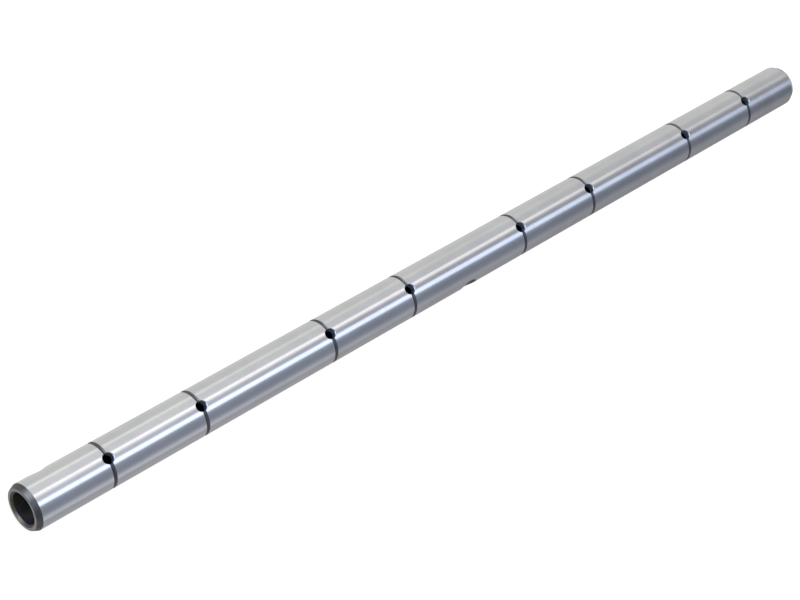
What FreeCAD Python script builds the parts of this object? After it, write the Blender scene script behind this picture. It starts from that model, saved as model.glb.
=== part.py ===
# Hollow rocker shaft of a four-cylinder push-rod engine, turned and ground from one length of steel tube.
# Each cylinder has two rockers. Under each rocker an oil hole leaves the bore through a shallow round groove
# that carries the oil round the shaft. One cross hole in the middle takes oil in from the bracket below it,
# and one near the front end takes the screw that stops the shaft from turning.
#
# Frame: millimetres, origin on the shaft's axis at mid-length, +X along the axis from the front end (with the
# locating hole) to the rear end, +Z through the row of oil holes. The locating hole is in the +Y wall and the
# feed hole is in the -Y wall.
import FreeCAD
import Part
import os
import Sketcher

# Driving dimensions: name, value in millimetres or a count, what it is
SIZES = (
    ("cylinders", 4, "cylinders served, two rockers each"),
    ("cylinder_pitch", 110.0, "from one cylinder's rockers to the next cylinder's"),
    ("rocker_spacing", 44.0, "between the two rockers of one cylinder"),
    ("front_overhang", 34.75, "front end face to the first oil groove"),
    ("rear_overhang", 34.75, "last oil groove to the rear end face"),
    ("outer_diameter", 19.0, "ground outer diameter"),
    ("bore_diameter", 13.0, "oil gallery, open at both ends"),
    ("end_chamfer_length", 2.2, "outer chamfer at each end, along the axis"),
    ("end_chamfer_depth", 1.0, "outer chamfer at each end, across the wall"),
    ("mouth_chamfer", 0.8, "inner edge of each end, at 45 degrees"),
    ("groove_radius", 1.0, "round section of the oil grooves"),
    ("groove_depth", 0.4, "oil groove, below the ground surface"),
    ("oil_hole_diameter", 4.5, "outlet in each groove"),
    ("oil_hole_flare", 0.3, "depth of the countersink at each outlet"),
    ("feed_hole_diameter", 7.0, "inlet in the middle of the shaft"),
    ("feed_hole_flare", 0.9, "depth of the countersink at the inlet"),
    ("locating_hole_diameter", 7.0, "clearance for the locating screw"),
    ("locating_hole_flare", 0.9, "depth of the countersink at the locating hole"),
    ("locating_hole_setback", 11.75, "front end face to the locating hole"),
    ("drill_clearance", 1.0, "height above the ground surface where each drill starts"),
)
COUNTERSINK_ANGLE = 90
FULL_TURN = 360

# Expressions that several features share
OUTER_RADIUS = "Sizes.outer_diameter / 2"
DRILL_START = OUTER_RADIUS + " + Sizes.drill_clearance"
PATTERN_REACH = "(Sizes.cylinders - 1) * Sizes.cylinder_pitch"
GROOVE_SPAN = PATTERN_REACH + " + Sizes.rocker_spacing"
HALF_LENGTH = "(" + GROOVE_SPAN + " + Sizes.front_overhang + Sizes.rear_overhang) / 2"

# Names for the ends of a sketch edge, its centre, and the sketch's own origin
START, END, CENTRE = range(1, 4)
ORIGIN = (-1, START)


def make_sheet(doc):
    """Write the driving dimensions to the document's spreadsheet."""
    sheet = doc.addObject("Spreadsheet::Sheet", "Sizes")
    for row, (name, value, note) in enumerate(SIZES, start=1):
        sheet.set("A%d" % row, name)
        sheet.set("B%d" % row, str(value))
        sheet.set("C%d" % row, note)
        sheet.setAlias("B%d" % row, name)
    doc.recompute()
    return sheet


def origin_feature(body, role):
    """Give one of the body's own base planes or axes."""
    return next(item for item in body.Origin.OriginFeatures if item.Role == role)


def make_sketch(body, name, plane, stand_off=None):
    """Start a sketch on one of the body's base planes, moved along its normal by an expression."""
    sketch = body.newObject("Sketcher::SketchObject", name)
    sketch.AttachmentSupport = [(origin_feature(body, plane), "")]
    sketch.MapMode = "FlatFace"
    if stand_off:
        sketch.setExpression("AttachmentOffset.Base.z", stand_off)
    return sketch


def set_size(sketch, name, kind, first, second, expression):
    """Add a named distance between two sketch points and bind it to the sheet."""
    index = sketch.addConstraint(Sketcher.Constraint(kind, *first, *second, 1.0))
    sketch.renameConstraint(index, name)
    sketch.setExpression("Constraints." + name, expression)


def add_front_mark(sketch):
    """Add a construction point on the axis at the front end face, from which stations are measured."""
    mark = sketch.addGeometry(Part.Point(FreeCAD.Vector(-1, 0, 0)), True)
    sketch.addConstraint(Sketcher.Constraint("PointOnObject", mark, START, -1))
    set_size(sketch, "front_face", "DistanceX", (mark, START), ORIGIN, HALF_LENGTH)
    return mark, START


def add_circle(sketch, name, station_from, station, radius, drop=None):
    """Add a circle at a station along the shaft, on the axis or at a distance below it."""
    circle = sketch.addGeometry(Part.Circle(FreeCAD.Vector(0, -5, 0), FreeCAD.Vector(0, 0, 1), 1.0), False)
    set_size(sketch, name + "_station", "DistanceX", station_from, (circle, CENTRE), station)
    if drop:
        set_size(sketch, name + "_drop", "DistanceY", (circle, CENTRE), ORIGIN, drop)
    else:
        sketch.addConstraint(Sketcher.Constraint("PointOnObject", circle, CENTRE, -1))
    index = sketch.addConstraint(Sketcher.Constraint("Radius", circle, 1.0))
    sketch.renameConstraint(index, name + "_radius")
    sketch.setExpression("Constraints." + name + "_radius", radius)
    return circle, CENTRE


def turn_tube(doc, body):
    """Turn the plain tube with its chamfered ends from one half section, drawn on the feed hole's side.

    The seam of every turned face then lies a quarter turn from the row of oil holes.
    """
    sketch = make_sketch(body, "tube_section", "XY_Plane")
    corners = [(-9, -5), (-9, -6), (-7, -8), (7, -8), (9, -6), (9, -5), (8, -4), (-8, -4)]
    points = [FreeCAD.Vector(x, y, 0) for x, y in corners]
    count = len(points)
    for number in range(count):
        edge = Part.LineSegment(points[number], points[(number + 1) % count])
        sketch.addGeometry(edge, False)
    for number in range(count):
        following = (number + 1) % count
        sketch.addConstraint(Sketcher.Constraint("Coincident", number, END, following, START))
    front_face, front_cone, ground, rear_cone, rear_face, rear_mouth, bore, front_mouth = range(count)
    for edge in (front_face, rear_face):
        sketch.addConstraint(Sketcher.Constraint("Vertical", edge))
    for edge in (ground, bore):
        sketch.addConstraint(Sketcher.Constraint("Horizontal", edge))
    across = "DistanceY"
    along = "DistanceX"
    set_size(sketch, "front_half", along, (front_face, START), ORIGIN, HALF_LENGTH)
    set_size(sketch, "rear_half", along, ORIGIN, (rear_face, START), HALF_LENGTH)
    set_size(sketch, "ground_radius", across, (ground, START), ORIGIN, OUTER_RADIUS)
    set_size(sketch, "bore_radius", across, (bore, START), ORIGIN, "Sizes.bore_diameter / 2")
    for name, inner, outer in (("front_cone", (front_cone, START), (front_cone, END)),
                               ("rear_cone", (rear_cone, END), (rear_cone, START))):
        set_size(sketch, name + "_depth", across, outer, inner, "Sizes.end_chamfer_depth")
    set_size(sketch, "front_cone_length", along, (front_cone, START), (front_cone, END), "Sizes.end_chamfer_length")
    set_size(sketch, "rear_cone_length", along, (rear_cone, START), (rear_cone, END), "Sizes.end_chamfer_length")
    for name, inner, outer in (("front_mouth", (front_mouth, START), (front_mouth, END)),
                               ("rear_mouth", (rear_mouth, END), (rear_mouth, START))):
        set_size(sketch, name + "_depth", across, outer, inner, "Sizes.mouth_chamfer")
    set_size(sketch, "front_mouth_length", along, (front_mouth, END), (front_mouth, START), "Sizes.mouth_chamfer")
    set_size(sketch, "rear_mouth_length", along, (rear_mouth, END), (rear_mouth, START), "Sizes.mouth_chamfer")
    tube = body.newObject("PartDesign::Revolution", "turned_tube")
    tube.Profile = sketch
    tube.ReferenceAxis = (origin_feature(body, "X_Axis"), [""])
    tube.Angle = FULL_TURN
    doc.recompute()
    return tube


def cut_groove_pair(doc, body):
    """Turn the round-bottomed oil grooves of the first cylinder's two rockers."""
    sketch = make_sketch(body, "groove_sections", "XY_Plane")
    mark = add_front_mark(sketch)
    drop = OUTER_RADIUS + " - Sizes.groove_depth + Sizes.groove_radius"
    first = add_circle(sketch, "first", mark, "Sizes.front_overhang", "Sizes.groove_radius", drop)
    add_circle(sketch, "second", first, "Sizes.rocker_spacing", "Sizes.groove_radius", drop)
    groove = body.newObject("PartDesign::Groove", "groove_pair")
    groove.Profile = sketch
    groove.ReferenceAxis = (origin_feature(body, "X_Axis"), [""])
    groove.Angle = FULL_TURN
    doc.recompute()
    return groove


def drill(doc, body, name, sketch, size, flare, reverse=False):
    """Drill countersunk holes at a sketch's circles, from outside through one wall of the tube."""
    hole = body.newObject("PartDesign::Hole", name)
    hole.Profile = sketch
    doc.recompute()
    hole.ThreadType = "None"
    hole.DepthType = "Dimension"
    hole.DrillPoint = "Flat"
    hole.HoleCutType = "Countersink"
    hole.HoleCutCustomValues = True
    hole.HoleCutCountersinkAngle = COUNTERSINK_ANGLE
    hole.Reversed = reverse
    hole.setExpression("Diameter", size)
    hole.setExpression("Depth", DRILL_START)
    hole.setExpression("HoleCutDiameter", size + " + 2 * (" + flare + " + Sizes.drill_clearance)")
    doc.recompute()
    return hole


def drill_oil_pair(doc, body):
    """Drill the oil outlets of the first cylinder's two rockers through the top wall."""
    sketch = make_sketch(body, "oil_hole_centres", "XY_Plane", DRILL_START)
    mark = add_front_mark(sketch)
    radius = "Sizes.oil_hole_diameter / 2"
    first = add_circle(sketch, "first", mark, "Sizes.front_overhang", radius)
    add_circle(sketch, "second", first, "Sizes.rocker_spacing", radius)
    return drill(doc, body, "oil_hole_pair", sketch, "Sizes.oil_hole_diameter", "Sizes.oil_hole_flare")


def repeat_per_cylinder(doc, body, features):
    """Repeat the first cylinder's grooves and outlets for the other cylinders."""
    pattern = body.newObject("PartDesign::LinearPattern", "cylinder_pattern")
    pattern.Originals = features
    pattern.Direction = (origin_feature(body, "X_Axis"), [""])
    pattern.setExpression("Length", PATTERN_REACH)
    pattern.setExpression("Occurrences", "Sizes.cylinders")
    body.Tip = pattern
    doc.recompute()
    return pattern


def drill_feed_hole(doc, body):
    """Drill the oil inlet through the -Y wall, midway between the first and the last groove."""
    sketch = make_sketch(body, "feed_hole_centre", "XZ_Plane", DRILL_START)
    mark = add_front_mark(sketch)
    station = "Sizes.front_overhang + (" + GROOVE_SPAN + ") / 2"
    add_circle(sketch, "feed", mark, station, "Sizes.feed_hole_diameter / 2")
    return drill(doc, body, "feed_hole", sketch, "Sizes.feed_hole_diameter", "Sizes.feed_hole_flare")


def drill_locating_hole(doc, body):
    """Drill the hole for the locating screw through the +Y wall, near the front end."""
    sketch = make_sketch(body, "locating_hole_centre", "XZ_Plane", "-(" + DRILL_START + ")")
    mark = add_front_mark(sketch)
    add_circle(sketch, "locating", mark, "Sizes.locating_hole_setback", "Sizes.locating_hole_diameter / 2")
    return drill(doc, body, "locating_hole", sketch, "Sizes.locating_hole_diameter",
                 "Sizes.locating_hole_flare", reverse=True)


def check_cut(before, feature):
    """Stop if a cut took nothing away, and give the volume that is left."""
    after = feature.Shape.Volume
    if not after < before - 1e-3:
        raise RuntimeError(feature.Name + " cuts nothing")
    return after


def make_shaft(doc):
    """Build the shaft as one body, checking that every cut removes material."""
    body = doc.addObject("PartDesign::Body", "Shaft")
    body.Label = "rocker_shaft"
    volume = turn_tube(doc, body).Shape.Volume
    grooves = cut_groove_pair(doc, body)
    volume = check_cut(volume, grooves)
    outlets = drill_oil_pair(doc, body)
    volume = check_cut(volume, outlets)
    volume = check_cut(volume, repeat_per_cylinder(doc, body, [grooves, outlets]))
    volume = check_cut(volume, drill_feed_hole(doc, body))
    check_cut(volume, drill_locating_hole(doc, body))
    return body


def check_document(doc, body):
    """Stop if any object failed or the shaft isn't one valid solid."""
    for item in doc.Objects:
        if "Invalid" in item.State or "Error" in item.State:
            raise RuntimeError(item.Name + " failed: " + ", ".join(item.State))
    shape = body.Shape
    if shape.isNull() or not shape.isValid() or len(shape.Solids) != 1:
        raise RuntimeError(body.Label + " isn't one valid solid")


def main():
    """Build the document and write the shaft's solid."""
    doc = FreeCAD.newDocument("RockerShaft")
    make_sheet(doc)
    shaft = make_shaft(doc)
    doc.recompute()
    check_document(doc, shaft)
    os.makedirs("parts", exist_ok=True)
    shaft.Shape.exportStep("parts/" + shaft.Label + ".step")
    box = shaft.Shape.optimalBoundingBox()
    print("%s: %.1f x %.1f x %.1f mm, %.0f mm3" % (shaft.Label, box.XLength, box.YLength, box.ZLength,
                                                 shaft.Shape.Volume))


main()
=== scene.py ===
"""A ground steel rocker shaft on a plain pale floor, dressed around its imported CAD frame.

The shaft is one turned and drilled piece. Its half section is drawn here at full resolution, and a Geometry
Nodes tree turns it about the shaft's axis and drills the oil holes, the feed hole and the locating hole.
Sizes are in millimetres where a name says so. Every Blender object is in metres, in the CAD model's frame.
"""
import logging
import math
from dataclasses import dataclass, field
from enum import Enum

import bpy
from mathutils import Matrix, Vector


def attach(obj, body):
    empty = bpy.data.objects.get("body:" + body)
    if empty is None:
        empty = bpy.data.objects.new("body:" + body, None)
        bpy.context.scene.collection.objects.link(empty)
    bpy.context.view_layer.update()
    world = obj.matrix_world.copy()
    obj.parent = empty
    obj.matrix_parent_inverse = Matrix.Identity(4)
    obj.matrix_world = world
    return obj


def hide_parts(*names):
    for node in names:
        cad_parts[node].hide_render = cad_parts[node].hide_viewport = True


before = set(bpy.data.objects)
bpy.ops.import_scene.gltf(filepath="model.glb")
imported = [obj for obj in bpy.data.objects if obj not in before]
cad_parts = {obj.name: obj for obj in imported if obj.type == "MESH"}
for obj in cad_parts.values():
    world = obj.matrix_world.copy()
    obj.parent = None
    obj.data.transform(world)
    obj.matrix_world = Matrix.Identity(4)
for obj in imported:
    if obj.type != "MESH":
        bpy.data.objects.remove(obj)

LOG = logging.getLogger("rocker_shaft")
MM = 0.001
FULL_TURN = 2 * math.pi
QUARTER_TURN = math.pi / 2
DEGREES_PER_RADIAN = 180 / math.pi
IMAGE_WIDTH_PX = 800
SENSOR_WIDTH_MM = 36.0

Socket = bpy.types.NodeSocket
Colour = tuple[float, float, float]
Place = tuple[float, float, float]
Direction = tuple[float, float, float]
Point = tuple[float, float]
NumberSource = Socket | float
ColourSource = Socket | Colour


class Region(Enum):
    """The parts of the shaft's surface that are finished in different ways."""

    GROUND = "ground"
    RECESS = "recess"
    HOLE = "hole"
    # The walls of the feed and locating holes, coloured near black as painted shade
    PORT = "port"
    FLARE = "flare"
    END = "end"
    MOUTH = "mouth"
    BORE = "bore"


class Graph:
    """A node tree with short calls for adding nodes and joining them."""

    # The Mix node's sockets go by number, because its numbers and its colours have sockets of the same names
    FACTOR = 0
    FIRST_NUMBER, SECOND_NUMBER, NUMBER_RESULT = 2, 3, 0
    FIRST_COLOUR, SECOND_COLOUR, COLOUR_RESULT = 6, 7, 2

    def __init__(self, tree: bpy.types.NodeTree) -> None:
        """Wrap a tree and empty it.

        Args:
            tree: the shader, world or geometry tree to fill.
        """
        self.tree = tree
        self.tree.nodes.clear()

    def add(self, kind: str, inputs: dict[str | int, object] | None = None,
            **settings: object) -> bpy.types.Node:
        """Add a node.

        Args:
            kind: the node's type name in bpy.
            inputs: socket name or number to a value, or to an output socket to link from.
            settings: attributes of the node.

        Returns:
            The new node.
        """
        node = self.tree.nodes.new(kind)
        for name, value in settings.items():
            setattr(node, name, value)
        for key, value in (inputs or {}).items():
            self.feed(node.inputs[key], value)
        return node

    def feed(self, socket: Socket, value: object) -> None:
        """Link an output socket to an input, or set the input's own value.

        Args:
            socket: the input.
            value: an output socket, or a value of the input's kind.
        """
        if isinstance(value, Socket):
            self.tree.links.new(value, socket)
        else:
            socket.default_value = value

    def math(self, operation: str, *values: NumberSource) -> Socket:
        """Add a Math node.

        Args:
            operation: Blender's name of the operation.
            values: numbers or sockets, in order.

        Returns:
            The result's socket.
        """
        return self.add("ShaderNodeMath", dict(enumerate(values)), operation=operation).outputs[0]

    def both(self, first: Socket, second: Socket) -> Socket:
        """Select what two selections have in common."""
        return self.math("MULTIPLY", first, second)

    def either(self, first: Socket, second: Socket) -> Socket:
        """Select what is in one or both of two selections."""
        return self.math("MAXIMUM", first, second)

    def all_but(self, selection: Socket) -> Socket:
        """Select what a selection leaves out."""
        return self.math("SUBTRACT", 1.0, selection)

    def smooth_step(self, value: Socket, start: float, stop: float, low: float = 0.0,
                    high: float = 1.0) -> Socket:
        """Ease from low to high while value goes from start to stop.

        Args:
            value: the socket that is read.
            start: value at which the result is still low.
            stop: value at which the result is high.
            low: result before start.
            high: result after stop.

        Returns:
            The result's socket.
        """
        inputs = {"Value": value, "From Min": start, "From Max": stop, "To Min": low, "To Max": high}
        return self.add("ShaderNodeMapRange", inputs, interpolation_type="SMOOTHSTEP").outputs["Result"]

    def mix_number(self, factor: NumberSource, first: NumberSource, second: NumberSource) -> Socket:
        """Mix two numbers, with factor as the share of the second."""
        inputs = {self.FACTOR: factor, self.FIRST_NUMBER: first, self.SECOND_NUMBER: second}
        return self.add("ShaderNodeMix", inputs).outputs[self.NUMBER_RESULT]

    def mix_colour(self, factor: NumberSource, first: ColourSource, second: ColourSource) -> Socket:
        """Mix two colours.

        Args:
            factor: share of the second colour.
            first: a socket or a colour of three numbers.
            second: a socket or a colour of three numbers.

        Returns:
            The mixed colour's socket.
        """
        node = self.add("ShaderNodeMix", {self.FACTOR: factor}, data_type="RGBA")
        for number, value in ((self.FIRST_COLOUR, first), (self.SECOND_COLOUR, second)):
            self.feed(node.inputs[number], (*value, 1.0) if isinstance(value, tuple) else value)
        return node.outputs[self.COLOUR_RESULT]

    def noise(self, vector: Socket, size_mm: float, detail: float, distortion: float = 0.0) -> Socket:
        """Add a noise texture.

        Args:
            vector: the coordinates, in metres.
            size_mm: rough size of the noise's blots, in millimetres.
            detail: how many finer layers of noise are added.
            distortion: how far the blots are pulled out of shape.

        Returns:
            The noise's factor, from 0 to 1.
        """
        inputs = {"Vector": vector, "Scale": 1 / (size_mm * MM), "Detail": detail, "Distortion": distortion}
        return self.add("ShaderNodeTexNoise", inputs, normalize=True).outputs[0]


@dataclass(frozen=True, kw_only=True)
class Finish:
    """A steel finish: its colour, gloss, and the marks of the tool that left it."""

    # Tool marks are drawn out round the shaft to 1 / MARK_STRETCH of their pitch
    MARK_STRETCH = 0.012
    MARK_DETAIL = 2.0
    MARK_RANGE = (0.25, 0.75)
    MARK_RELIEF = 0.02 * MM
    BLOTCH_DETAIL = 3.0
    BLOTCH_DISTORTION = 0.4
    BLOTCH_RANGE = (0.3, 0.7)
    # A quarter turn from the tangent, so that the gloss spreads along the shaft
    GLOSS_TURN = 0.25

    name: str
    light: Colour
    dark: Colour
    roughness_low: float
    roughness_high: float
    metallic: float
    mark_pitch_mm: float
    mark_depth: float
    blotch_size_mm: float
    anisotropy: float = 0.0

    def coordinates(self, graph: Graph) -> tuple[Socket, Socket]:
        """Give the object coordinates, plain and for tool marks.

        Args:
            graph: the material's graph.

        Returns:
            The plain coordinates and those in which a noise runs round the shaft.
        """
        place = graph.add("ShaderNodeTexCoord").outputs["Object"]
        stretch = (1.0, self.MARK_STRETCH, self.MARK_STRETCH)
        ring = graph.add("ShaderNodeMapping", {"Vector": place, "Scale": stretch})
        return place, ring.outputs["Vector"]

    def material(self) -> bpy.types.Material:
        """Build the finish as a node material.

        Returns:
            The new material.
        """
        made = bpy.data.materials.new(self.name)
        made.use_nodes = True
        graph = Graph(made.node_tree)
        place, ring = self.coordinates(graph)
        blotch = graph.noise(place, self.blotch_size_mm, self.BLOTCH_DETAIL, self.BLOTCH_DISTORTION)
        marks = graph.noise(ring, self.mark_pitch_mm, self.MARK_DETAIL)
        colour = graph.mix_colour(graph.smooth_step(blotch, *self.BLOTCH_RANGE), self.dark, self.light)
        rough = graph.smooth_step(marks, *self.MARK_RANGE, self.roughness_low, self.roughness_high)
        relief = {"Strength": self.mark_depth, "Distance": self.MARK_RELIEF, "Height": marks}
        bump = graph.add("ShaderNodeBump", relief)
        shader = graph.add("ShaderNodeBsdfPrincipled", {
            "Base Color": self.tint(graph, place, colour),
            "Metallic": self.metallic,
            "Roughness": rough,
            "Normal": bump.outputs["Normal"],
            "Anisotropic": self.anisotropy,
        })
        if self.anisotropy:
            tangent = graph.add("ShaderNodeTangent", direction_type="RADIAL", axis="X")
            graph.feed(shader.inputs["Anisotropic Rotation"], self.GLOSS_TURN)
            graph.feed(shader.inputs["Tangent"], tangent.outputs["Tangent"])
        graph.add("ShaderNodeOutputMaterial", {"Surface": shader.outputs["BSDF"]})
        return made

    def tint(self, graph: Graph, place: Socket, colour: Socket) -> Socket:
        """Give the colour unchanged; finishes with heat colours add theirs here."""
        return colour


@dataclass(frozen=True, kw_only=True)
class HeatTreatedFinish(Finish):
    """A finish that still shows the thin oxide of the hardening furnace, in straw and violet patches."""

    PATCH_DETAIL = 1.0
    STRAW_RANGE = (0.52, 0.66)
    VIOLET_RANGE = (0.46, 0.34)

    straw: Colour
    violet: Colour
    patch_size_mm: float = 6.0

    def tint(self, graph: Graph, place: Socket, colour: Socket) -> Socket:
        """Lay the oxide's colours over the steel.

        Args:
            graph: the material's graph.
            place: object coordinates.
            colour: the steel's own colour.

        Returns:
            The tinted colour's socket.
        """
        patch = graph.noise(place, self.patch_size_mm, self.PATCH_DETAIL)
        warmed = graph.mix_colour(graph.smooth_step(patch, *self.STRAW_RANGE), colour, self.straw)
        return graph.mix_colour(graph.smooth_step(patch, *self.VIOLET_RANGE), warmed, self.violet)


GROUND_STEEL = Finish(
    name="ground_steel", light=(0.63, 0.63, 0.64), dark=(0.59, 0.59, 0.60),
    roughness_low=0.20, roughness_high=0.25, metallic=1.0,
    mark_pitch_mm=0.35, mark_depth=0.05, blotch_size_mm=14.0, anisotropy=0.75,
)
GROOVE_STEEL = HeatTreatedFinish(
    name="groove_steel", light=(0.14, 0.14, 0.14), dark=(0.09, 0.095, 0.095),
    roughness_low=0.36, roughness_high=0.5, metallic=1.0,
    mark_pitch_mm=0.3, mark_depth=0.3, blotch_size_mm=3.0,
    straw=(0.12, 0.115, 0.105), violet=(0.12, 0.115, 0.145),
)
HOLE_STEEL = HeatTreatedFinish(
    name="hole_steel", light=(0.15, 0.20, 0.34), dark=(0.08, 0.10, 0.17),
    roughness_low=0.4, roughness_high=0.55, metallic=0.2,
    mark_pitch_mm=0.3, mark_depth=0.3, blotch_size_mm=2.0,
    straw=(0.12, 0.13, 0.13), violet=(0.10, 0.15, 0.30), patch_size_mm=3.0,
)
# Painted shade: the walls of the feed hole and the locating hole are coloured near black, far darker than
# the oil holes' walls, to stand in for the shade deep inside these holes
PORT_PAINTED_SHADE = HeatTreatedFinish(
    name="port_painted_shade", light=(0.045, 0.05, 0.047), dark=(0.022, 0.024, 0.023),
    roughness_low=0.45, roughness_high=0.6, metallic=0.3,
    mark_pitch_mm=0.3, mark_depth=0.3, blotch_size_mm=2.0,
    straw=(0.04, 0.042, 0.035), violet=(0.03, 0.033, 0.038), patch_size_mm=3.0,
)
FLARE_STEEL = Finish(
    name="flare_steel", light=(0.31, 0.36, 0.38), dark=(0.24, 0.28, 0.30),
    roughness_low=0.3, roughness_high=0.4, metallic=1.0,
    mark_pitch_mm=0.3, mark_depth=0.2, blotch_size_mm=2.0,
)
END_STEEL = HeatTreatedFinish(
    name="end_steel", light=(0.134, 0.134, 0.137), dark=(0.088, 0.088, 0.091),
    roughness_low=0.34, roughness_high=0.46, metallic=1.0,
    mark_pitch_mm=0.4, mark_depth=0.3, blotch_size_mm=5.0,
    straw=(0.112, 0.105, 0.082), violet=(0.092, 0.10, 0.11),
)
MOUTH_STEEL = HeatTreatedFinish(
    name="mouth_steel", light=(0.125, 0.118, 0.09), dark=(0.08, 0.075, 0.055),
    roughness_low=0.34, roughness_high=0.46, metallic=1.0,
    mark_pitch_mm=0.4, mark_depth=0.3, blotch_size_mm=3.0,
    straw=(0.105, 0.095, 0.065), violet=(0.10, 0.09, 0.095),
)
BORE_STEEL = HeatTreatedFinish(
    name="bore_steel", light=(0.075, 0.075, 0.09), dark=(0.04, 0.04, 0.055),
    roughness_low=0.35, roughness_high=0.6, metallic=0.7,
    mark_pitch_mm=0.6, mark_depth=0.5, blotch_size_mm=6.0,
    straw=(0.075, 0.075, 0.05), violet=(0.05, 0.045, 0.09),
)


@dataclass
class RockerShaft:
    """The hollow shaft: a turned tube with oil grooves, and holes drilled across it."""

    cylinders: int = 4
    cylinder_pitch_mm: float = 110.0
    rocker_spacing_mm: float = 44.0
    overhang_mm: float = 34.75
    outer_radius_mm: float = 9.5
    bore_radius_mm: float = 6.5
    chamfer_length_mm: float = 2.2
    chamfer_depth_mm: float = 1.0
    mouth_chamfer_mm: float = 0.8
    groove_radius_mm: float = 1.0
    groove_depth_mm: float = 0.4
    oil_hole_radius_mm: float = 2.25
    oil_flare_mm: float = 0.3
    cross_hole_radius_mm: float = 3.5
    cross_flare_mm: float = 0.9
    locating_setback_mm: float = 11.75
    corner_softness_mm: float = 0.25
    corner_steps: int = 5
    land_step_mm: float = 4.0
    bore_step_mm: float = 9.0
    groove_steps: int = 10
    segments: int = 192
    finishes: dict[Region, Finish] = field(default_factory=lambda: {
        Region.GROUND: GROUND_STEEL,
        Region.RECESS: GROOVE_STEEL,
        Region.HOLE: HOLE_STEEL,
        Region.PORT: PORT_PAINTED_SHADE,
        Region.FLARE: FLARE_STEEL,
        Region.END: END_STEEL,
        Region.MOUTH: MOUTH_STEEL,
        Region.BORE: BORE_STEEL,
    })

    @property
    def groove_span_mm(self) -> float:
        """From the first groove to the last."""
        return (self.cylinders - 1) * self.cylinder_pitch_mm + self.rocker_spacing_mm

    @property
    def half_length_mm(self) -> float:
        """From the middle of the shaft to either end face."""
        return self.groove_span_mm / 2 + self.overhang_mm

    def groove_stations(self) -> list[float]:
        """List the grooves' places along the axis.

        Returns:
            The places in order, in millimetres from the middle.
        """
        first = -self.groove_span_mm / 2
        pairs = [first + number * self.cylinder_pitch_mm for number in range(self.cylinders)]
        return sorted(pairs + [station + self.rocker_spacing_mm for station in pairs])

    def groove_points(self, station: float) -> list[Point]:
        """Draw one groove's round section.

        Args:
            station: the groove's middle along the axis.

        Returns:
            Points as (along the axis, radius), from the groove's front edge to its rear edge.
        """
        reach = math.acos(1 - self.groove_depth_mm / self.groove_radius_mm)
        centre = self.outer_radius_mm - self.groove_depth_mm + self.groove_radius_mm
        points = []
        for number in range(self.groove_steps + 1):
            angle = reach * (2 * number / self.groove_steps - 1)
            along = station + self.groove_radius_mm * math.sin(angle)
            points.append((along, centre - self.groove_radius_mm * math.cos(angle)))
        return points

    def outer_points(self) -> list[Point]:
        """Draw the ground surface and its grooves.

        Returns:
            Points as (along the axis, radius), from the front chamfer to the rear one.
        """
        front = -self.half_length_mm + self.chamfer_length_mm
        points = [(front, self.outer_radius_mm)]
        for station in self.groove_stations():
            groove = self.groove_points(station)
            points += self.run(points[-1], groove[0], self.land_step_mm) + groove
        rear = (-front, self.outer_radius_mm)
        return points + self.run(points[-1], rear, self.land_step_mm) + [rear]

    @staticmethod
    def run(start: Point, stop: Point, step: float) -> list[Point]:
        """Give evenly spaced points strictly between two points.

        Args:
            start: the point before the run.
            stop: the point after it.
            step: the largest spacing, in millimetres.

        Returns:
            The points between them.
        """
        count = math.ceil(abs(stop[0] - start[0]) / step)
        return [tuple(first + (last - first) * number / count for first, last in zip(start, stop))
                for number in range(1, count)]

    def soften(self, before: Point, corner: Point, after: Point) -> list[Point]:
        """Round a corner of the section as tumbling leaves it.

        Args:
            before: the neighbouring point on one side.
            corner: the sharp corner.
            after: the neighbouring point on the other side.

        Returns:
            Points of the rounding, from the side of before to the side of after.
        """
        point = Vector(corner)
        ends = []
        for neighbour in (before, after):
            side = Vector(neighbour) - point
            ends.append(point + side.normalized() * min(self.corner_softness_mm, side.length / 2))
        rounded = []
        for number in range(self.corner_steps + 1):
            share = number / self.corner_steps
            spot = ends[0] * (1 - share) ** 2 + point * 2 * share * (1 - share) + ends[1] * share ** 2
            rounded.append(tuple(spot))
        return rounded

    def half_section(self) -> list[Point]:
        """Draw the closed half section of the turned tube.

        Returns:
            Points as (along the axis, radius), from the front end over the outside and back through
            the bore.
        """
        half, bore = self.half_length_mm, self.bore_radius_mm
        ring_inner = bore + self.mouth_chamfer_mm
        ring_outer = self.outer_radius_mm - self.chamfer_depth_mm
        outside = self.outer_points()
        front_rim = self.soften((-half, ring_inner), (-half, ring_outer), outside[0])
        rear_rim = self.soften(outside[-1], (half, ring_outer), (half, ring_inner))
        rear_mouth = (half - self.mouth_chamfer_mm, bore)
        front_mouth = (-rear_mouth[0], bore)
        inside = [rear_mouth] + self.run(rear_mouth, front_mouth, self.bore_step_mm) + [front_mouth]
        return [(-half, ring_inner)] + front_rim + outside + rear_rim + [(half, ring_inner)] + inside

    def section_object(self) -> bpy.types.Object:
        """Put the half section's points into a mesh of loose vertices, along X and up Z, in metres.

        Returns:
            The object that carries the mesh, in no collection yet.
        """
        mesh = bpy.data.meshes.new("rocker_shaft_section")
        mesh.from_pydata([(along * MM, 0.0, radius * MM) for along, radius in self.half_section()], [], [])
        return bpy.data.objects.new("rocker_shaft_section", mesh)

    def build(self) -> bpy.types.Object:
        """Turn and drill the shaft, and make it a plain mesh.

        Returns:
            The finished object, at the origin.
        """
        worker = self.section_object()
        bpy.context.scene.collection.objects.link(worker)
        materials = {region: finish.material() for region, finish in self.finishes.items()}
        tree = ShaftTree(materials)
        modifier = worker.modifiers.new("turn_and_drill", "NODES")
        modifier.node_group = tree.group
        for name, value in self.tree_inputs().items():
            modifier[tree.identifiers[name]] = value
        depsgraph = bpy.context.evaluated_depsgraph_get()
        mesh = bpy.data.meshes.new_from_object(worker.evaluated_get(depsgraph), depsgraph=depsgraph)
        worker.modifiers.remove(modifier)
        bpy.data.objects.remove(worker)
        mesh.name = "shaft"
        shaft = bpy.data.objects.new("shaft", mesh)
        bpy.context.scene.collection.objects.link(shaft)
        return shaft

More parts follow.
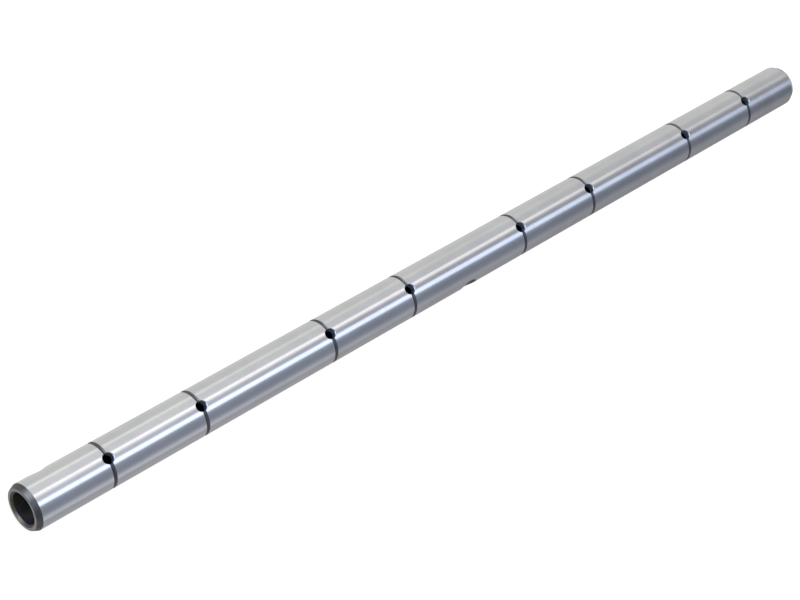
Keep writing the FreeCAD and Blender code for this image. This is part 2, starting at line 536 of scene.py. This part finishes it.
    def tree_inputs(self) -> dict[str, float | int]:
        """Give the values for the tree's named inputs, lengths in metres."""
        return {
            "Segments": self.segments,
            "Cylinders": self.cylinders,
            "Cylinder Pitch": self.cylinder_pitch_mm * MM,
            "Rocker Spacing": self.rocker_spacing_mm * MM,
            "First Groove": -self.groove_span_mm / 2 * MM,
            "Half Length": self.half_length_mm * MM,
            "Chamfer Length": self.chamfer_length_mm * MM,
            "Outer Radius": self.outer_radius_mm * MM,
            "Bore Radius": self.bore_radius_mm * MM,
            "Mouth Radius": (self.bore_radius_mm + self.mouth_chamfer_mm) * MM,
            "Groove Depth": self.groove_depth_mm * MM,
            "Oil Hole Radius": self.oil_hole_radius_mm * MM,
            "Oil Flare": self.oil_flare_mm * MM,
            "Cross Hole Radius": self.cross_hole_radius_mm * MM,
            "Cross Flare": self.cross_flare_mm * MM,
            "Locating Station": (self.locating_setback_mm - self.half_length_mm) * MM,
        }

    def dress(self, shaft: bpy.types.Object) -> None:
        """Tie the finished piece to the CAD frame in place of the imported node.

        Args:
            shaft: the finished object.
        """
        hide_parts("rocker_shaft")
        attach(shaft, "root")
        mesh = shaft.data
        LOG.info("%s: %d faces, %d materials", shaft.name, len(mesh.polygons), len(mesh.materials))


class ShaftTree:
    """The Geometry Nodes tree that turns the half section and drills the turned blank."""

    INTEGERS = ("Segments", "Cylinders")
    LENGTHS = ("Cylinder Pitch", "Rocker Spacing", "First Groove", "Half Length", "Chamfer Length",
               "Outer Radius", "Bore Radius", "Mouth Radius", "Groove Depth", "Oil Hole Radius", "Oil Flare",
               "Cross Hole Radius", "Cross Flare", "Locating Station")
    # A drill's profile has three points: on the axis, at the countersink's shoulder and past the surface
    DRILL_POINTS = 3
    SHOULDER_POINT = 1.0
    TOP_POINT = 2.0
    INDEX_TOLERANCE = 0.1
    DRILL_CLEARANCE = 1.0 * MM
    DRILL_SIDES = 96
    GROOVES_IN_PAIR = 2
    WELD = 0.0005 * MM
    SURFACE_SLACK = 0.03 * MM
    SHARP_ANGLE = math.radians(16)

    def __init__(self, materials: dict[Region, bpy.types.Material]) -> None:
        """Build the tree.

        Args:
            materials: the material of each region of the surface.
        """
        self.group = bpy.data.node_groups.new("turned_and_drilled_shaft", "GeometryNodeTree")
        self.graph = Graph(self.group)
        self.identifiers: dict[str, str] = {}
        self.group.interface.new_socket("Geometry", in_out="INPUT", socket_type="NodeSocketGeometry")
        self.group.interface.new_socket("Geometry", in_out="OUTPUT", socket_type="NodeSocketGeometry")
        for names, kind in ((self.INTEGERS, "NodeSocketInt"), (self.LENGTHS, "NodeSocketFloat")):
            for name in names:
                socket = self.group.interface.new_socket(name, in_out="INPUT", socket_type=kind)
                self.identifiers[name] = socket.identifier
        self.given = self.graph.add("NodeGroupInput").outputs
        drilled = self.drilled(self.turned())
        realized = self.graph.add("GeometryNodeRealizeInstances", {0: self.creased(drilled)}).outputs[0]
        self.graph.add("NodeGroupOutput", {0: self.painted(realized, materials)})

    def turned(self) -> Socket:
        """Turn the half section about the X axis.

        Returns:
            The closed tube's mesh socket.
        """
        graph = self.graph
        section = self.given["Geometry"]
        size = graph.add("GeometryNodeAttributeDomainSize", {0: section}, component="MESH")
        points = size.outputs["Point Count"]
        rows = graph.math("ADD", points, 1.0)
        columns = graph.math("ADD", self.given["Segments"], 1.0)
        grid = graph.add("GeometryNodeMeshGrid", {"Vertices X": columns, "Vertices Y": rows})
        index = graph.add("GeometryNodeInputIndex").outputs[0]
        column = graph.math("FLOOR", graph.math("DIVIDE", index, rows))
        in_column = graph.math("SUBTRACT", index, graph.math("MULTIPLY", column, rows))
        row = graph.math("MODULO", in_column, points)
        place = graph.add("GeometryNodeInputPosition").outputs[0]
        sample = graph.add("GeometryNodeSampleIndex", {"Geometry": section, "Value": place, "Index": row},
                           data_type="FLOAT_VECTOR", domain="POINT")
        drawn = graph.add("ShaderNodeSeparateXYZ", {0: sample.outputs["Value"]}).outputs
        share = graph.math("DIVIDE", column, self.given["Segments"])
        angle = graph.math("MULTIPLY", share, FULL_TURN)
        downwards = graph.math("MULTIPLY", drawn["Z"], -1.0)
        ring = graph.add("ShaderNodeCombineXYZ", {
            "X": drawn["X"],
            "Y": graph.math("MULTIPLY", drawn["Z"], graph.math("SINE", angle)),
            "Z": graph.math("MULTIPLY", graph.math("COSINE", angle), downwards),
        })
        places = {"Geometry": grid.outputs[0], "Position": ring.outputs[0]}
        bent = graph.add("GeometryNodeSetPosition", places).outputs[0]
        return graph.add("GeometryNodeMergeByDistance", {"Geometry": bent, "Distance": self.WELD}).outputs[0]

    def drill(self, radius: Socket, flare: Socket) -> Socket:
        """Make one drill: a rod from the axis outwards that widens at the surface.

        Args:
            radius: the hole's radius.
            flare: depth of the countersink below the ground surface.

        Returns:
            The drill's mesh socket, pointing up Z.
        """
        graph = self.graph
        surface = self.given["Outer Radius"]
        shoulder = graph.math("SUBTRACT", surface, flare)
        top = graph.math("ADD", surface, self.DRILL_CLEARANCE)
        wide = graph.math("ADD", radius, graph.math("ADD", flare, self.DRILL_CLEARANCE))
        line = graph.add("GeometryNodeMeshLine", {"Count": self.DRILL_POINTS})
        rod = graph.add("GeometryNodeMeshToCurve", {"Mesh": line.outputs[0]})
        index = graph.add("GeometryNodeInputIndex").outputs[0]
        is_shoulder = graph.math("COMPARE", index, self.SHOULDER_POINT, self.INDEX_TOLERANCE)
        is_top = graph.math("COMPARE", index, self.TOP_POINT, self.INDEX_TOLERANCE)
        height = graph.math("ADD", graph.math("MULTIPLY", is_shoulder, shoulder),
                            graph.math("MULTIPLY", is_top, top))
        girth = graph.math("ADD", graph.math("MULTIPLY", graph.all_but(is_top), radius),
                           graph.math("MULTIPLY", is_top, wide))
        upright = graph.add("ShaderNodeCombineXYZ", {"Z": height}).outputs[0]
        placed = graph.add("GeometryNodeSetPosition", {"Geometry": rod.outputs[0], "Position": upright})
        round_profile = graph.add("GeometryNodeCurvePrimitiveCircle",
                                  {"Resolution": self.DRILL_SIDES, "Radius": 1.0}, mode="RADIUS")
        swept = graph.add("GeometryNodeCurveToMesh", {
            "Curve": placed.outputs[0],
            "Profile Curve": round_profile.outputs[0],
            "Scale": girth,
            "Fill Caps": True,
        })
        return swept.outputs[0]

    def along_axis(self, name: str) -> Socket:
        """Give one of the tree's lengths as a vector along X."""
        return self.graph.add("ShaderNodeCombineXYZ", {"X": self.given[name]}).outputs[0]

    def oil_row(self) -> Socket:
        """Set an oil hole's drill in each groove, in pairs, one pair for each cylinder.

        Returns:
            The drills' mesh socket.
        """
        graph = self.graph
        oil_drill = self.drill(self.given["Oil Hole Radius"], self.given["Oil Flare"])
        cylinders = graph.add("GeometryNodeMeshLine", {
            "Count": self.given["Cylinders"],
            "Start Location": self.along_axis("First Groove"),
            "Offset": self.along_axis("Cylinder Pitch"),
        })
        spacing = {"Count": self.GROOVES_IN_PAIR, "Offset": self.along_axis("Rocker Spacing")}
        pair = graph.add("GeometryNodeMeshLine", spacing).outputs[0]
        pairs = graph.add("GeometryNodeInstanceOnPoints", {"Points": cylinders.outputs[0], "Instance": pair})
        places = graph.add("GeometryNodeRealizeInstances", {0: pairs.outputs[0]}).outputs[0]
        row = graph.add("GeometryNodeInstanceOnPoints", {"Points": places, "Instance": oil_drill})
        return graph.add("GeometryNodeRealizeInstances", {0: row.outputs[0]}).outputs[0]

    def drilled(self, blank: Socket) -> Socket:
        """Drill the oil holes up Z, the feed hole towards -Y and the locating hole towards +Y.

        Args:
            blank: the turned tube.

        Returns:
            The drilled tube's mesh socket.
        """
        graph = self.graph
        cross_drill = self.drill(self.given["Cross Hole Radius"], self.given["Cross Flare"])
        feed = graph.add("GeometryNodeTransform", {
            "Geometry": cross_drill,
            "Rotation": (QUARTER_TURN, 0.0, 0.0),
        })
        locator = graph.add("GeometryNodeTransform", {
            "Geometry": cross_drill,
            "Rotation": (-QUARTER_TURN, 0.0, 0.0),
            "Translation": self.along_axis("Locating Station"),
        })
        cut = graph.add("GeometryNodeMeshBoolean", {0: blank}, operation="DIFFERENCE", solver="MANIFOLD")
        for tool in (self.oil_row(), feed.outputs[0], locator.outputs[0]):
            graph.feed(cut.inputs[1], tool)
        return cut.outputs[0]

    def creased(self, mesh: Socket) -> Socket:
        """Shade the surface smooth, with its true edges kept sharp.

        Args:
            mesh: the drilled shaft.

        Returns:
            The shaded mesh's socket.
        """
        graph = self.graph
        faces = {"Geometry": mesh, "Shade Smooth": True}
        smooth = graph.add("GeometryNodeSetShadeSmooth", faces, domain="FACE").outputs[0]
        angle = graph.add("GeometryNodeInputMeshEdgeAngle").outputs[0]
        sharp = graph.math("GREATER_THAN", angle, self.SHARP_ANGLE)
        edges = {"Geometry": smooth, "Selection": sharp, "Shade Smooth": False}
        return graph.add("GeometryNodeSetShadeSmooth", edges, domain="EDGE").outputs[0]

    def selections(self) -> dict[Region, Socket]:
        """Select the faces of each region by their distance from the axis and from the middle.

        Returns:
            The selections, in the order in which they are painted over each other.
        """
        graph, given = self.graph, self.given
        position = graph.add("GeometryNodeInputPosition").outputs[0]
        place = graph.add("ShaderNodeSeparateXYZ", {0: position}).outputs
        squares = [graph.math("MULTIPLY", place[axis], place[axis]) for axis in ("Y", "Z")]
        radius = graph.math("SQRT", graph.math("ADD", *squares))
        along = graph.math("ABSOLUTE", place["X"])
        just_under_surface = graph.math("SUBTRACT", given["Outer Radius"], self.SURFACE_SLACK)
        ground = graph.math("GREATER_THAN", radius, just_under_surface)
        just_over_bore = graph.math("ADD", given["Bore Radius"], self.SURFACE_SLACK)
        bore = graph.math("LESS_THAN", radius, just_over_bore)
        land_end = graph.math("SUBTRACT", given["Half Length"], given["Chamfer Length"])
        end = graph.both(graph.math("GREATER_THAN", along, land_end), graph.all_but(bore))
        mouth_rim = graph.math("SUBTRACT", given["Mouth Radius"], self.SURFACE_SLACK)
        mouth = graph.both(end, graph.math("LESS_THAN", radius, mouth_rim))
        shoulder = graph.math("SUBTRACT", given["Outer Radius"], given["Oil Flare"])
        widened = graph.math("GREATER_THAN", radius, shoulder)
        over_hole = graph.math("LESS_THAN", graph.math("ABSOLUTE", place["Y"]), given["Oil Hole Radius"])
        on_top = graph.math("GREATER_THAN", place["Z"], given["Bore Radius"])
        countersunk = graph.both(widened, graph.both(over_hole, on_top))
        flare = graph.both(countersunk, graph.all_but(graph.either(ground, end)))
        groove_floor = graph.math("SUBTRACT", given["Outer Radius"], given["Groove Depth"])
        just_under_floor = graph.math("SUBTRACT", groove_floor, self.SURFACE_SLACK)
        under_floor = graph.math("LESS_THAN", radius, just_under_floor)
        hole = graph.both(under_floor, graph.all_but(graph.either(bore, end)))
        cross_reach = graph.math("ADD", given["Cross Hole Radius"], given["Cross Flare"])
        # The cross holes' walls, which get the near-black painted shade
        port = graph.both(hole, graph.math("LESS_THAN", place["Z"], cross_reach))
        recess = graph.all_but(graph.either(ground, graph.either(bore, end)))
        return {
            Region.RECESS: recess,
            Region.HOLE: hole,
            Region.PORT: port,
            Region.FLARE: flare,
            Region.END: end,
            Region.MOUTH: mouth,
            Region.BORE: bore,
        }

    def painted(self, mesh: Socket, materials: dict[Region, bpy.types.Material]) -> Socket:
        """Give the whole surface the ground material, and then each other region its own.

        Args:
            mesh: the drilled shaft.
            materials: the material of each region.

        Returns:
            The painted mesh's socket.
        """
        all_over = {"Geometry": mesh, "Material": materials[Region.GROUND]}
        mesh = self.graph.add("GeometryNodeSetMaterial", all_over).outputs[0]
        for region, selection in self.selections().items():
            patch = {"Geometry": mesh, "Selection": selection, "Material": materials[region]}
            mesh = self.graph.add("GeometryNodeSetMaterial", patch).outputs[0]
        return mesh


@dataclass(frozen=True)
class StudioPanel:
    """One panel of the studio, parallel to the shaft: where it stands round it and how bright it looks.

    Angles go round the shaft's axis in degrees, 0 straight up and positive towards -Y. An edge is soft for
    edge_in or edge_out degrees to each side of it. The strength is behind in directions that lean to the
    shaft's front end, near in those that lean to its rear end by up to hold, and far past gone, where hold
    and gone are shares of the axis. By drift, in degrees, the last edge has turned on past gone. Panels lie
    over each other in their order.
    """

    start: float
    stop: float
    behind: float
    near: float
    far: float
    tint: Colour
    edge_in: float = 3.0
    edge_out: float = 3.0
    hold: float = 0.42
    gone: float = 0.74
    drift: float = 0.0


@dataclass(frozen=True)
class RoundLight:
    """A round light in one direction from the shaft, laid over the panels.

    Its radius and the width of its soft edge are in degrees, as seen from the shaft.
    """

    towards: Direction
    radius: float
    strength: float
    tint: Colour
    edge: float = 10.0


# An angle past any that a direction has, for a panel that has no edge there
NO_EDGE = 400
PANELS = {
    "room": StudioPanel(-NO_EDGE, NO_EDGE, 0.42, 0.35, 0.18, (0.90, 1.0, 1.20), hold=0.53, gone=0.73),
    "back_wall": StudioPanel(-NO_EDGE, -10, 0.6, 0.84, 0.79, (1.0, 1.0, 0.99)),
    "upper_wall": StudioPanel(-62, -10, 0.7, 0.99, 0.61, (0.98, 1.0, 1.03),
                              edge_in=4, hold=0.40, gone=0.72),
    "upper_edge": StudioPanel(-74, -61, 0.8, 1.42, 0.74, (0.97, 1.03, 0.97), hold=0.40, gone=0.62),
    "ceiling": StudioPanel(-15, 14, 0.6, 1.00, 0.36, (0.95, 1.0, 1.14), hold=0.35, gone=0.63),
    "window_strip": StudioPanel(-26, -12, 0.8, 1.93, 0.30, (1.02, 1.0, 0.99),
                                edge_out=10, hold=0.59, gone=0.735),
    "spill": StudioPanel(25, 44, 0.45, 0.46, 0.28, (0.88, 1.0, 1.28),
                         edge_out=10, hold=0.53, gone=0.76, drift=4),
    "soft_box": StudioPanel(11.5, 30.6, 0.9, 2.04, 0.26, (0.90, 1.0, 1.25),
                            edge_out=4, hold=0.565, gone=0.75, drift=10.5),
    "floor_side": StudioPanel(92, NO_EDGE, 0.55, 0.50, 0.34, (0.99, 1.0, 1.03),
                              edge_in=12, hold=0.50, gone=0.66),
    "side_card": StudioPanel(84, 104, 0.6, 0.84, 0.31, (0.97, 1.0, 1.13),
                             edge_in=16, edge_out=6, hold=0.43, gone=0.66),
}
ROUND_LIGHTS = {
    "upper_lamp": RoundLight((-0.44, 0.57, 0.70), 14, 4.6, (0.98, 1.0, 1.03), edge=9),
    "front_card": RoundLight((-0.41, 0.10, -0.91), 25, 1.5, (1.0, 0.98, 0.93)),
    "front_window": RoundLight((-0.86, 0.40, 0.32), 13, 4.6, (0.98, 0.97, 1.30)),
    "rear_window": RoundLight((1.0, 0.0, -0.15), 13, 2.8, (0.98, 1.0, 1.03), edge=8),
}


@dataclass
class Studio:
    """The pale floor, the soft light round the shaft, and the camera."""

    floor_size_m: float = 6.0
    floor_height_m: float = -0.0095
    floor_albedo: float = 0.35
    floor_glow: float = 0.8
    lamp_place_m: Place = (0.1, 0.35, 1.3)
    lamp_length_m: float = 1.2
    lamp_width_m: float = 0.9
    lamp_power_w: float = 2.0
    camera_place_m: Place = (-0.5316, -0.0741, 0.6944)
    camera_aim_m: Place = (-0.0333, -0.0009, -0.0001)
    camera_roll_deg: float = 50.33
    camera_nearest_m: float = 0.01
    camera_farthest_m: float = 20.0
    focal_length_px: float = 2109.0
    behind_until: float = -0.25
    near_from: float = 0.4

    def build_floor(self) -> bpy.types.Object:
        """Lay the floor under the shaft.

        Returns:
            The floor's object.
        """
        half, height = self.floor_size_m / 2, self.floor_height_m
        mesh = bpy.data.meshes.new("floor")
        corners = [(-half, -half, height), (half, -half, height),
                   (half, half, height), (-half, half, height)]
        mesh.from_pydata(corners, [], [(0, 1, 2, 3)])
        mesh.materials.append(self.floor_material())
        floor = bpy.data.objects.new("floor", mesh)
        bpy.context.scene.collection.objects.link(floor)
        floor.visible_glossy = False
        return floor

    def floor_material(self) -> bpy.types.Material:
        """Make the floor's white card, which glows for the camera alone and still shows a soft shadow.

        Returns:
            The new material.
        """
        made = bpy.data.materials.new("white_card")
        made.use_nodes = True
        graph = Graph(made.node_tree)
        card = graph.add("ShaderNodeBsdfDiffuse", {"Color": (*(self.floor_albedo,) * 3, 1.0)})
        glow = graph.add("ShaderNodeEmission", {"Strength": self.floor_glow})
        seen = graph.add("ShaderNodeLightPath").outputs["Is Camera Ray"]
        # The first of the two shaders that are mixed stays empty, so other rays get no glow
        shown = graph.add("ShaderNodeMixShader", {0: seen, 2: glow.outputs[0]})
        both = graph.add("ShaderNodeAddShader", {0: card.outputs[0], 1: shown.outputs[0]})
        graph.add("ShaderNodeOutputMaterial", {"Surface": both.outputs[0]})
        return made

    def build_world(self) -> bpy.types.World:
        """Make the studio's light: white to the camera and to the floor, panels in the steel's reflections.

        Returns:
            The scene's world.
        """
        world = bpy.data.worlds.new("studio")
        world.use_nodes = True
        graph = Graph(world.node_tree)
        direction = graph.add("ShaderNodeTexCoord").outputs["Generated"]
        parts = graph.add("ShaderNodeSeparateXYZ", {0: direction}).outputs
        turned = graph.math("ARCTAN2", graph.math("MULTIPLY", parts["Y"], -1.0), parts["Z"])
        angle = graph.math("MULTIPLY", turned, DEGREES_PER_RADIAN)
        total = (0.0, 0.0, 0.0)
        for panel in PANELS.values():
            total = self.lay_panel(graph, panel, angle, parts["X"], total)
        for light in ROUND_LIGHTS.values():
            total = self.lay_round_light(graph, light, direction, total)
        glossy = graph.add("ShaderNodeLightPath").outputs["Is Glossy Ray"]
        shown = graph.mix_colour(glossy, (1.0, 1.0, 1.0), total)
        background = graph.add("ShaderNodeBackground", {"Color": shown, "Strength": 1.0})
        graph.add("ShaderNodeOutputWorld", {"Surface": background.outputs[0]})
        bpy.context.scene.world = world
        return world

    def lay_panel(self, graph: Graph, panel: StudioPanel, angle: Socket, along: Socket,
                  under: ColourSource) -> Socket:
        """Lay one panel over the light so far.

        Args:
            graph: the world's graph.
            panel: the panel.
            angle: the direction's angle round the shaft, in degrees.
            along: the direction's share along the shaft, -1 to 1.
            under: the light so far, a socket or a colour.

        Returns:
            The light with the panel, as a colour socket.
        """
        to_near = graph.smooth_step(along, self.behind_until, self.near_from)
        to_far = graph.smooth_step(along, panel.hold, panel.gone)
        front = graph.mix_number(to_near, panel.behind, panel.near)
        strength = graph.mix_number(to_far, front, panel.far)
        turned = graph.math("SUBTRACT", angle, graph.math("MULTIPLY", to_far, panel.drift))
        first_edge = (panel.start - panel.edge_in, panel.start + panel.edge_in)
        last_edge = (panel.stop - panel.edge_out, panel.stop + panel.edge_out)
        enters = graph.smooth_step(angle, *first_edge)
        leaves = graph.smooth_step(turned, *last_edge, low=1.0, high=0.0)
        light = graph.add("ShaderNodeVectorMath", {0: panel.tint, "Scale": strength}, operation="SCALE")
        return graph.mix_colour(graph.both(enters, leaves), under, light.outputs[0])

    @staticmethod
    def lay_round_light(graph: Graph, light: RoundLight, direction: Socket, under: Socket) -> Socket:
        """Lay one round light over the light so far.

        Args:
            graph: the world's graph.
            light: the round light.
            direction: the direction that is looked in.
            under: the light so far.

        Returns:
            The light with the round light, as a colour socket.
        """
        middle = Vector(light.towards).normalized()
        facing = graph.add("ShaderNodeVectorMath", {0: direction, 1: middle}, operation="DOT_PRODUCT")
        outer, inner = math.radians(light.radius + light.edge), math.radians(light.radius)
        covered = graph.smooth_step(facing.outputs["Value"], math.cos(outer), math.cos(inner))
        shown = tuple(share * light.strength for share in light.tint)
        return graph.mix_colour(covered, under, shown)

    def build_lamp(self) -> bpy.types.Object:
        """Hang a large soft lamp over the shaft that gives its shadow on the floor.

        Returns:
            The lamp's object.
        """
        data = bpy.data.lights.new("overhead_soft_lamp", "AREA")
        data.shape = "RECTANGLE"
        data.size = self.lamp_length_m
        data.size_y = self.lamp_width_m
        data.energy = self.lamp_power_w
        lamp = bpy.data.objects.new("overhead_soft_lamp", data)
        lamp.location = self.lamp_place_m
        lamp.rotation_euler = (-lamp.location).to_track_quat("-Z", "Y").to_euler()
        lamp.visible_glossy = False
        bpy.context.scene.collection.objects.link(lamp)
        return lamp

    def build_camera(self) -> bpy.types.Object:
        """Set up the camera at the photograph's viewing angle.

        Returns:
            The camera's object.
        """
        data = bpy.data.cameras.new("camera")
        data.sensor_width = SENSOR_WIDTH_MM
        data.lens = self.focal_length_px / IMAGE_WIDTH_PX * SENSOR_WIDTH_MM
        data.clip_start = self.camera_nearest_m
        data.clip_end = self.camera_farthest_m
        camera = bpy.data.objects.new("camera", data)
        place, aim = Vector(self.camera_place_m), Vector(self.camera_aim_m)
        level = (aim - place).to_track_quat("-Z", "Y").to_matrix().to_4x4()
        roll = Matrix.Rotation(math.radians(self.camera_roll_deg), 4, "Z")
        camera.matrix_world = Matrix.Translation(place) @ level @ roll
        bpy.context.scene.collection.objects.link(camera)
        bpy.context.scene.camera = camera
        return camera

    def build(self) -> None:
        """Build the whole studio."""
        for made in (self.build_floor(), self.build_world(), self.build_lamp(), self.build_camera()):
            LOG.info("studio: %s", made.name)
        bpy.context.scene.view_settings.view_transform = "Standard"


def main() -> None:
    """Build the shaft and the studio."""
    logging.basicConfig(level=logging.INFO, format="%(name)s: %(message)s")
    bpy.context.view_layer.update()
    shaft = RockerShaft()
    shaft.dress(shaft.build())
    Studio().build()


if __name__ == "__main__":
    main()
